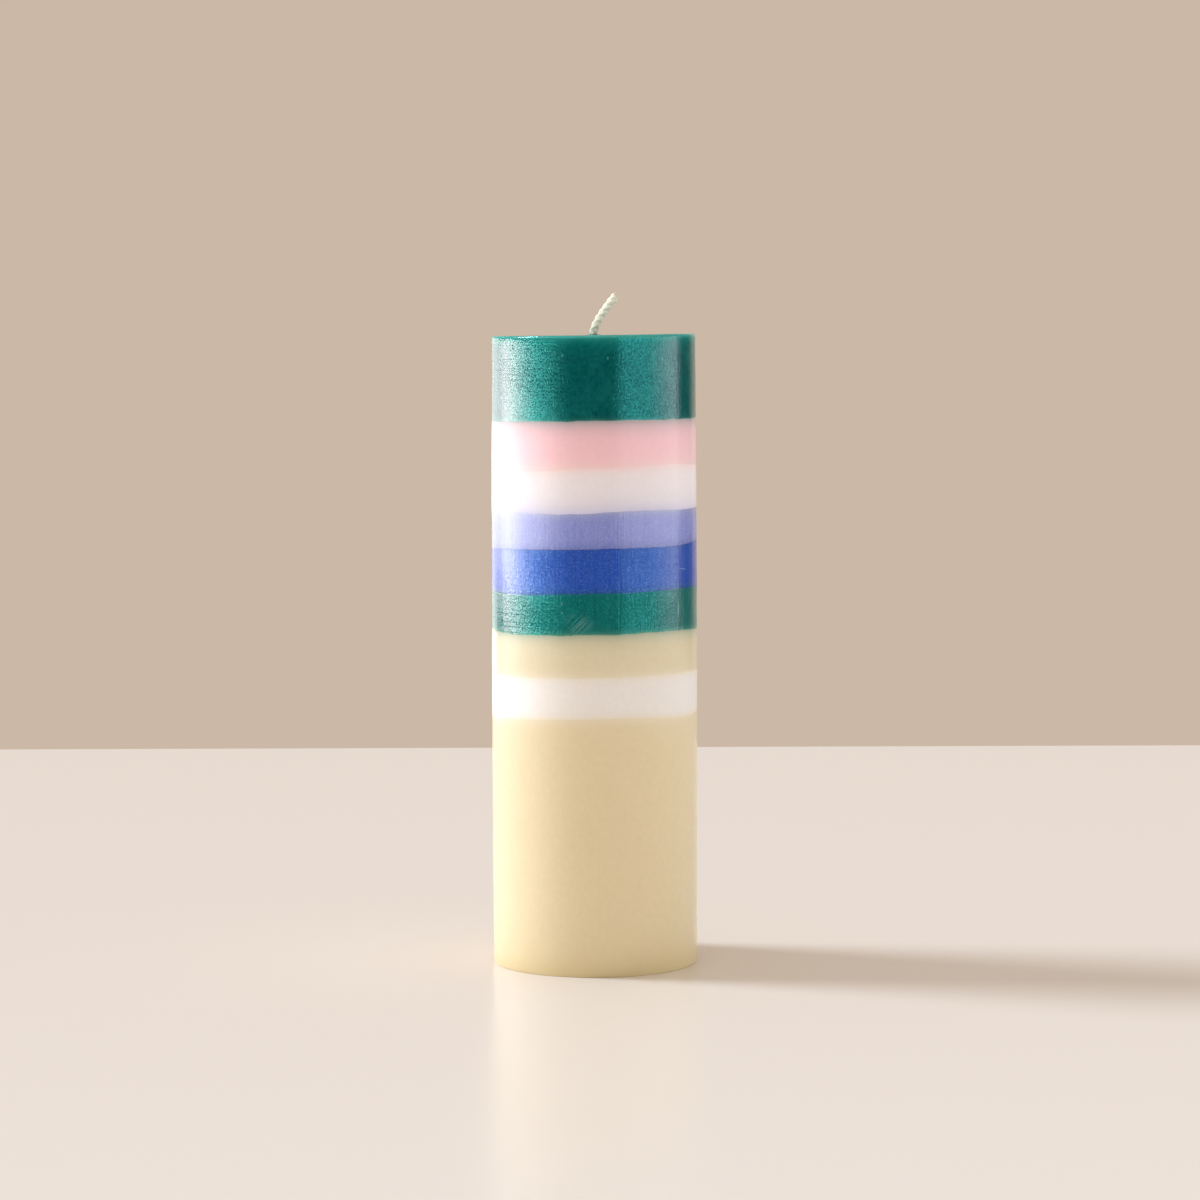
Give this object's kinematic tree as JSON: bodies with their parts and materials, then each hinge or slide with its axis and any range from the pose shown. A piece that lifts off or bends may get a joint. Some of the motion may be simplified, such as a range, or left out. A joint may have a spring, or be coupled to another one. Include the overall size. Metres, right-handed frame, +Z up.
{
  "type": "layered pillar candle",
  "caption": "Tall round pillar candle poured in coloured layers over a broad ivory foot, with a curved braided wick and a steel wick tab sealed under its base.",
  "frame": {"origin": "middle of the base, on the surface that the candle stands on", "axes": "+Z up along the wick's bore, +X the way that the wick's end leans, -Y the front in the picture"},
  "size_m": [0.0652, 0.0652, 0.2126],
  "materials": {
    "ivory_wax": "poured wax, satin and slightly translucent",
    "warm_white_wax": "poured wax, satin and slightly translucent",
    "sand_wax": "poured wax, satin and slightly translucent",
    "teal_green_wax": "poured wax, satin with a faint pale bloom",
    "cobalt_wax": "poured wax, satin with a faint pale bloom",
    "lilac_wax": "poured wax, satin and slightly translucent",
    "cool_white_wax": "poured wax, satin and slightly translucent",
    "pink_wax": "poured wax, satin and slightly translucent",
    "wick_cotton": "braided cotton, waxed",
    "tinned_steel": "stamped and tinned, satin"
  },
  "bodies": {
    "root": {"ivory_base_layer": "ivory_wax", "lower_white_layer": "warm_white_wax", "sand_layer": "sand_wax", "green_middle_layer": "teal_green_wax", "cobalt_layer": "cobalt_wax", "lilac_layer": "lilac_wax", "upper_white_layer": "cool_white_wax", "pink_layer": "pink_wax", "green_top_layer": "teal_green_wax", "wick": "wick_cotton", "wick_tab": "tinned_steel", "tab_seal": "ivory_wax"}
  },
  "joints": []
}
